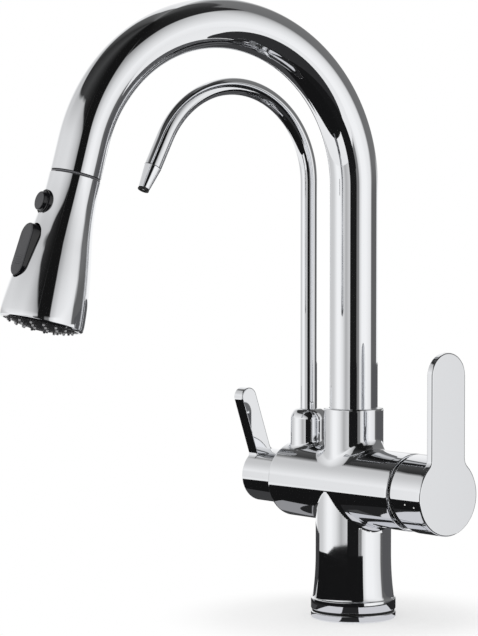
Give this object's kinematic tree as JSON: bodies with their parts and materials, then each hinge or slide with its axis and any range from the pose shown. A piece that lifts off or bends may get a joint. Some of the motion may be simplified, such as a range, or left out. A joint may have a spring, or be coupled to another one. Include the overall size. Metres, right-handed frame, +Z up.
{
  "type": "kitchen faucet",
  "caption": "Deck-mounted kitchen faucet with a pull-out spray head on a gooseneck spout, a mixing lever, and a thin filtered-water spout with a lever of its own.",
  "frame": {"origin": "On the column's axis, in the plane where the base ring stands on the deck", "axes": "+Z up along the column; the mixing lever is at +X and the filtered-water side at -X; the spouts point towards -Y over the sink, and +Y is the back"},
  "size_m": [0.1625, 0.2509, 0.432],
  "materials": {
    "chrome": "bright polished chrome plate",
    "brass": "machined brass",
    "steel": "plain stainless steel",
    "black_plastic": "black, satin",
    "grey_plastic": "dark grey, fine grain",
    "white_plastic": "white acetal",
    "rubber": "black, matte",
    "ceramic": "polished white ceramic",
    "hose_braid": "grey nylon braid"
  },
  "bodies": {
    "faucet_body": {"body_casting": "chrome", "base_ring": "chrome", "base_seal": "rubber", "deck_gasket": "rubber", "mounting_shank": "brass", "rubber_washer": "rubber", "steel_washer": "steel", "shank_nut": "brass", "inlet_block": "brass", "cold_inlet": "brass", "mixed_outlet": "brass", "hot_inlet": "brass", "filtered_inlet": "brass", "main_spout_bush": "white_plastic", "filter_spout_bush": "white_plastic", "cartridge_seal": "rubber", "mixing_cartridge": "white_plastic", "cartridge_nut": "brass", "fixed_ceramic_disc": "ceramic", "filter_valve_housing": "brass", "filter_fixed_disc": "ceramic", "filter_valve_nut": "brass"},
    "main_spout": {"main_spout_tube": "chrome", "spout_o_ring_upper": "rubber", "spout_o_ring_lower": "rubber", "spout_retaining_clip": "steel", "dock_bush": "grey_plastic", "pull_out_hose": "hose_braid", "hose_tail_fitting": "brass"},
    "hose_end": {"hose_connector": "steel"},
    "spray_head": {"spray_head_shell": "chrome", "spray_head_core": "black_plastic", "check_valve": "white_plastic", "nozzle_plate": "black_plastic", "stream_insert": "grey_plastic", "button_spring": "steel", "rocker_pin": "steel"},
    "pause_button": {"pause_button": "black_plastic"},
    "mode_rocker": {"mode_rocker": "grey_plastic"},
    "diverter": {"diverter_spool": "white_plastic"},
    "temperature_turret": {"temperature_turret": "white_plastic", "stem_pin": "steel"},
    "mixing_disc": {"moving_ceramic_disc": "ceramic", "disc_carrier": "white_plastic"},
    "main_lever": {"main_lever": "chrome", "lever_stem": "brass", "lever_grub_screw": "steel", "lever_plug": "grey_plastic"},
    "filter_spout": {"filter_spout_tube": "chrome", "filter_spout_o_ring": "rubber", "filter_spout_clip": "steel", "filter_outlet": "chrome", "filter_outlet_ring": "rubber"},
    "filter_lever": {"filter_lever": "chrome", "filter_lever_grub_screw": "steel", "filter_spindle": "brass", "filter_moving_disc": "ceramic"}
  },
  "joints": [
    {"name": "main_spout_swivel", "type": "hinge", "parent": "faucet_body", "child": "main_spout", "pos_m": [0, 0, 0.11], "axis": [0, 0, 1], "range_deg": [-150, 150]},
    {"name": "head_pull_out", "type": "slide", "parent": "main_spout", "child": "hose_end", "axis": [-0.0315, -0.2569, -0.9659], "range_m": [0, 0.35], "stiffness_N_per_m": 2, "springref_m": -2},
    {"name": "head_swivel", "type": "hinge", "parent": "hose_end", "child": "spray_head", "pos_m": [-0.02237, -0.18219, 0.25487], "axis": [-0.0315, -0.2569, -0.9659], "continuous": true},
    {"name": "pause_press", "type": "slide", "parent": "spray_head", "child": "pause_button", "axis": [0.1177, 0.9587, -0.2588], "range_m": [0, 0.002], "stiffness_N_per_m": 400, "springref_m": -0.006},
    {"name": "spray_mode", "type": "hinge", "parent": "spray_head", "child": "mode_rocker", "pos_m": [-0.02541, -0.20691, 0.21468], "axis": [-0.9925, 0.1219, 0], "range_deg": [0, 6]},
    {"name": "diverter_shift", "type": "slide", "parent": "spray_head", "child": "diverter", "axis": [-0.0315, -0.2569, -0.9659], "range_m": [0, 0.0011]},
    {"name": "temperature_turn", "type": "hinge", "parent": "faucet_body", "child": "temperature_turret", "pos_m": [0.057, 0, 0.0775], "axis": [1, 0, 0], "range_deg": [-45, 45]},
    {"name": "flow_lift", "type": "hinge", "parent": "temperature_turret", "child": "main_lever", "pos_m": [0.056, 0, 0.0775], "axis": [0, 1, 0], "range_deg": [0, 20]},
    {"name": "disc_shift", "type": "slide", "parent": "temperature_turret", "child": "mixing_disc", "axis": [0, 0, 1], "range_m": [0, 0.0049]},
    {"name": "filter_spout_swivel", "type": "hinge", "parent": "faucet_body", "child": "filter_spout", "pos_m": [-0.04, 0, 0.105], "axis": [0, 0, 1], "range_deg": [-130, 20]},
    {"name": "filter_valve_turn", "type": "hinge", "parent": "faucet_body", "child": "filter_lever", "pos_m": [-0.067, 0, 0.0775], "axis": [1, 0, 0], "range_deg": [-19, 71]}
  ],
  "couplings": [
    {"joint": "diverter_shift", "follows": "spray_mode", "m_per_rad": 0.0095},
    {"joint": "disc_shift", "follows": "flow_lift", "m_per_rad": 0.01375}
  ]
}
